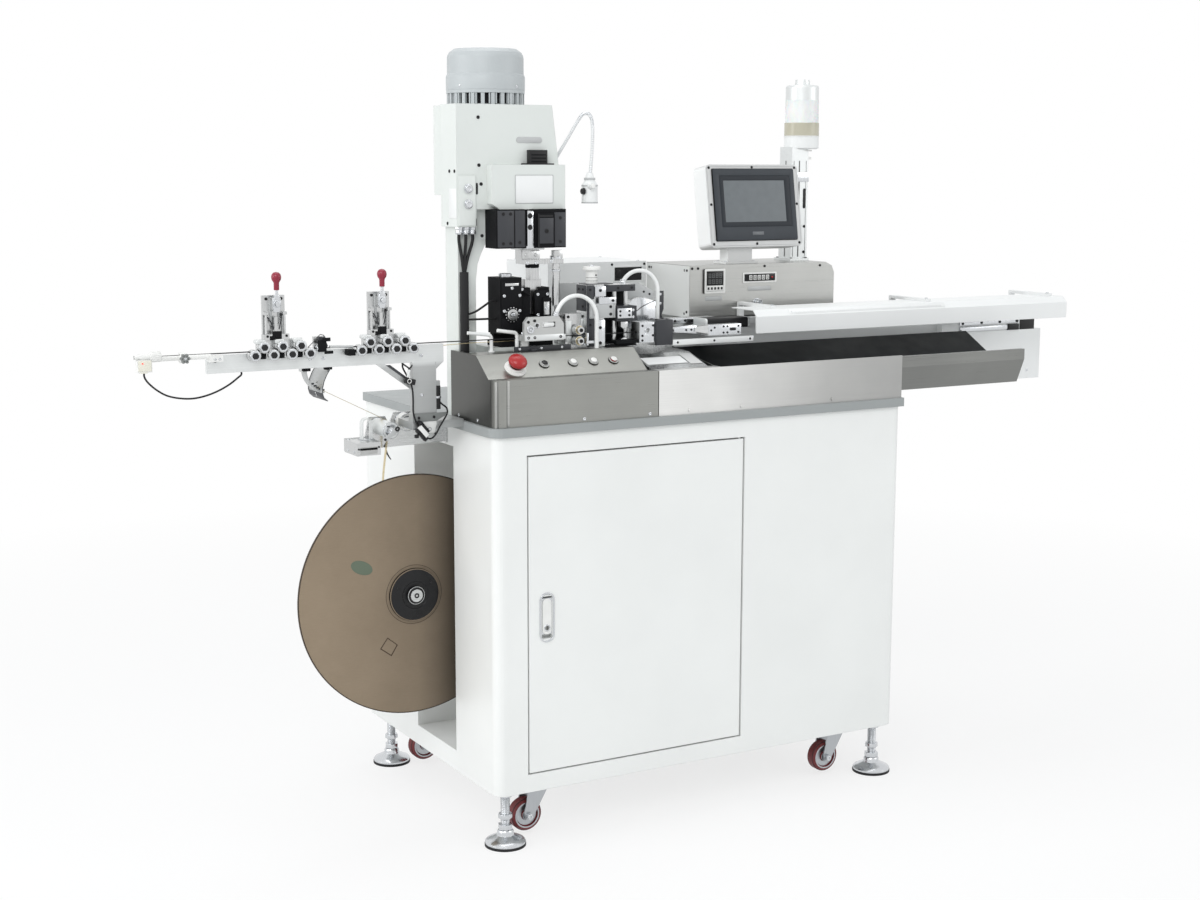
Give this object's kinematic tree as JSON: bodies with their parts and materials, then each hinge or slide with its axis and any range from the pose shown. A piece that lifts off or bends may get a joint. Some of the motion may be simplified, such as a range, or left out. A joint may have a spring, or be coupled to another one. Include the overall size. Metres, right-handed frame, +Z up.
{
  "type": "wire stripping and crimping machine",
  "caption": "Floor-standing machine that feeds wire from the left, strips it in a cutter head, crimps terminals in a small press and pulls the leads out over a trough.",
  "frame": {"origin": "on the floor under the middle of the whole machine's bounding box", "axes": "+X along the wire line from the inlet to the collecting trough, +Y from the front to the rear, +Z up"},
  "size_m": [2.086, 0.6179, 1.468],
  "materials": {
    "cabinet_paint": "semi-gloss powder coat",
    "table_paint": "grey powder coat with a light edge",
    "stainless": "brushed stainless sheet",
    "trough_steel": "brushed stainless sheet",
    "press_paint": "semi-gloss light grey paint",
    "motor_paint": "semi-gloss grey paint",
    "cover_paint": "white powder coat",
    "machined_steel": "machined",
    "dark_steel": "dark grey, satin",
    "arm_aluminium": "machined plate",
    "zinc": "bright zinc plate",
    "white_plastic": "matt",
    "black_plastic": "matt",
    "screen_plastic": "glossy panel",
    "red_plastic": "glossy",
    "caster_tyre": "maroon tread",
    "caster_fork_zinc": "zinc plated",
    "reel_board": "brown board",
    "strip_brass": "bright",
    "cable_rubber": "matt black",
    "hose_plastic": "white hose",
    "wire_black": "insulated wire"
  },
  "bodies": {
    "machine": {"cabinet_shell": "cabinet_paint", "caster_plates": "zinc", "level_feet": "zinc", "table_plate": "table_paint", "control_hood": "stainless", "front_panel": "stainless", "press_frame": "press_paint", "power_box": "press_paint", "press_motor": "motor_paint", "slide_guide": "dark_steel", "applicator_body": "dark_steel", "guide_arm": "arm_aluminium", "straighteners": "machined_steel", "wire_inlet": "white_plastic", "reel_stand": "machined_steel", "instrument_housing": "stainless", "display_units": "screen_plastic", "hmi_housing": "cover_paint", "oil_bottle": "white_plastic", "long_cover": "cover_paint", "trough": "trough_steel", "gantry_beam": "cover_paint", "rear_cover": "cover_paint", "cutter_frame": "machined_steel", "electrics_plate": "zinc", "work_lamp": "cover_paint", "feed_wire": "wire_black", "terminal_strip": "strip_brass", "cables": "cable_rubber", "air_hoses": "hose_plastic"},
    "door": {"door": "cabinet_paint"},
    "door_handle": {"door_handle": "zinc"},
    "caster_fork_1": {"caster_fork_1": "caster_fork_zinc"},
    "caster_wheel_1": {"caster_wheel_1": "caster_tyre"},
    "caster_fork_2": {"caster_fork_2": "caster_fork_zinc"},
    "caster_wheel_2": {"caster_wheel_2": "caster_tyre"},
    "caster_fork_3": {"caster_fork_3": "caster_fork_zinc"},
    "caster_wheel_3": {"caster_wheel_3": "caster_tyre"},
    "caster_fork_4": {"caster_fork_4": "caster_fork_zinc"},
    "caster_wheel_4": {"caster_wheel_4": "caster_tyre"},
    "reel": {"reel": "reel_board"},
    "strip_roller_1": {"strip_roller_1": "machined_steel"},
    "strip_roller_2": {"strip_roller_2": "white_plastic"},
    "clamp_lever_1": {"clamp_lever_1": "red_plastic"},
    "roller_block_1": {"roller_block_1": "machined_steel"},
    "clamp_lever_2": {"clamp_lever_2": "red_plastic"},
    "roller_block_2": {"roller_block_2": "machined_steel"},
    "press_ram": {"press_ram": "machined_steel"},
    "estop_button": {"estop_button": "red_plastic"},
    "button_1": {"button_1": "white_plastic"},
    "button_2": {"button_2": "white_plastic"},
    "button_3": {"button_3": "white_plastic"},
    "button_4": {"button_4": "red_plastic"},
    "selector_knob": {"selector_knob": "black_plastic"},
    "blade_upper": {"blade_upper": "machined_steel"},
    "blade_lower": {"blade_lower": "machined_steel"},
    "feed_wheel_upper": {"feed_wheel_upper": "machined_steel"},
    "feed_wheel_lower": {"feed_wheel_lower": "machined_steel"},
    "swing_arm": {"swing_arm": "arm_aluminium"},
    "gripper": {"gripper": "machined_steel"}
  },
  "joints": [
    {"name": "door_hinge", "type": "hinge", "parent": "machine", "child": "door", "pos_m": [0.094, -0.295, 0.439], "axis": [0, 0, 1], "range_deg": [0, 105]},
    {"name": "door_handle_pull", "type": "hinge", "parent": "door", "child": "door_handle", "pos_m": [-0.329, -0.297, 0.469], "axis": [-1, 0, 0], "range_deg": [0, 35], "stiffness_Nm_per_rad": 0.12},
    {"name": "caster_swivel_1", "type": "hinge", "parent": "machine", "child": "caster_fork_1", "pos_m": [-0.322, -0.236, 0.092], "axis": [0, 0, 1], "continuous": true},
    {"name": "caster_roll_1", "type": "hinge", "parent": "caster_fork_1", "child": "caster_wheel_1", "pos_m": [-0.344, -0.236, 0.0395], "axis": [0, 1, 0], "continuous": true},
    {"name": "caster_swivel_2", "type": "hinge", "parent": "machine", "child": "caster_fork_2", "pos_m": [0.376, -0.236, 0.092], "axis": [0, 0, 1], "continuous": true},
    {"name": "caster_roll_2", "type": "hinge", "parent": "caster_fork_2", "child": "caster_wheel_2", "pos_m": [0.354, -0.236, 0.0395], "axis": [0, 1, 0], "continuous": true},
    {"name": "caster_swivel_3", "type": "hinge", "parent": "machine", "child": "caster_fork_3", "pos_m": [-0.322, 0.236, 0.092], "axis": [0, 0, 1], "continuous": true},
    {"name": "caster_roll_3", "type": "hinge", "parent": "caster_fork_3", "child": "caster_wheel_3", "pos_m": [-0.344, 0.236, 0.0395], "axis": [0, 1, 0], "continuous": true},
    {"name": "caster_swivel_4", "type": "hinge", "parent": "machine", "child": "caster_fork_4", "pos_m": [0.376, 0.236, 0.092], "axis": [0, 0, 1], "continuous": true},
    {"name": "caster_roll_4", "type": "hinge", "parent": "caster_fork_4", "child": "caster_wheel_4", "pos_m": [0.354, 0.236, 0.0395], "axis": [0, 1, 0], "continuous": true},
    {"name": "reel_spin", "type": "hinge", "parent": "machine", "child": "reel", "pos_m": [-0.507, -0.084, 0.457], "axis": [0, 1, 0], "continuous": true},
    {"name": "strip_roller_1_spin", "type": "hinge", "parent": "machine", "child": "strip_roller_1", "pos_m": [-0.569, -0.119, 0.78], "axis": [0, 1, 0], "continuous": true},
    {"name": "strip_roller_2_spin", "type": "hinge", "parent": "machine", "child": "strip_roller_2", "pos_m": [-0.517, -0.098, 0.786], "axis": [0, 1, 0], "continuous": true},
    {"name": "clamp_lever_1_turn", "type": "hinge", "parent": "machine", "child": "clamp_lever_1", "pos_m": [-0.795, -0.1983, 1.021], "axis": [0, 1, 0], "range_deg": [0, 90]},
    {"name": "roller_block_1_lift", "type": "slide", "parent": "machine", "child": "roller_block_1", "axis": [0, 0, 1], "range_m": [0, 0.005]},
    {"name": "clamp_lever_2_turn", "type": "hinge", "parent": "machine", "child": "clamp_lever_2", "pos_m": [-0.601, -0.1983, 1.021], "axis": [0, 1, 0], "range_deg": [0, 90]},
    {"name": "roller_block_2_lift", "type": "slide", "parent": "machine", "child": "roller_block_2", "axis": [0, 0, 1], "range_m": [0, 0.005]},
    {"name": "press_ram_stroke", "type": "slide", "parent": "machine", "child": "press_ram", "axis": [0, 0, -1], "range_m": [0, 0.04]},
    {"name": "estop_press", "type": "slide", "parent": "machine", "child": "estop_button", "axis": [0, 0.6, -0.8], "range_m": [0, 0.004]},
    {"name": "button_1_press", "type": "slide", "parent": "machine", "child": "button_1", "axis": [0, 0.6, -0.8], "range_m": [0, 0.0015], "stiffness_N_per_m": 300},
    {"name": "button_2_press", "type": "slide", "parent": "machine", "child": "button_2", "axis": [0, 0.6, -0.8], "range_m": [0, 0.0015], "stiffness_N_per_m": 300},
    {"name": "button_3_press", "type": "slide", "parent": "machine", "child": "button_3", "axis": [0, 0.6, -0.8], "range_m": [0, 0.0015], "stiffness_N_per_m": 300},
    {"name": "button_4_press", "type": "slide", "parent": "machine", "child": "button_4", "axis": [0, 0.6, -0.8], "range_m": [0, 0.0015], "stiffness_N_per_m": 300},
    {"name": "selector_turn", "type": "hinge", "parent": "machine", "child": "selector_knob", "pos_m": [0.284, -0.08, 0.977], "axis": [0, 1, 0], "range_deg": [0, 90]},
    {"name": "blade_upper_close", "type": "slide", "parent": "machine", "child": "blade_upper", "axis": [0, 0, -1], "range_m": [0, 0.006]},
    {"name": "blade_lower_close", "type": "slide", "parent": "machine", "child": "blade_lower", "axis": [0, 0, 1], "range_m": [0, 0.006]},
    {"name": "feed_upper_spin", "type": "hinge", "parent": "machine", "child": "feed_wheel_upper", "pos_m": [-0.207, -0.197, 0.9512], "axis": [0, 1, 0], "continuous": true},
    {"name": "feed_lower_spin", "type": "hinge", "parent": "machine", "child": "feed_wheel_lower", "pos_m": [-0.207, -0.197, 0.9308], "axis": [0, 1, 0], "continuous": true},
    {"name": "swing_arm_turn", "type": "hinge", "parent": "machine", "child": "swing_arm", "pos_m": [-0.32, -0.197, 0.93], "axis": [0, 0, 1], "range_deg": [0, 24]},
    {"name": "gripper_travel", "type": "slide", "parent": "machine", "child": "gripper", "axis": [1, 0, 0], "range_m": [0, 0.7]}
  ],
  "couplings": [
    {"joint": "clamp_lever_1_turn", "follows": "roller_block_1_lift", "rad_per_m": 314.15},
    {"joint": "clamp_lever_2_turn", "follows": "roller_block_2_lift", "rad_per_m": 314.15},
    {"joint": "blade_lower_close", "follows": "blade_upper_close", "ratio": 1},
    {"joint": "feed_lower_spin", "follows": "feed_upper_spin", "ratio": -1}
  ]
}
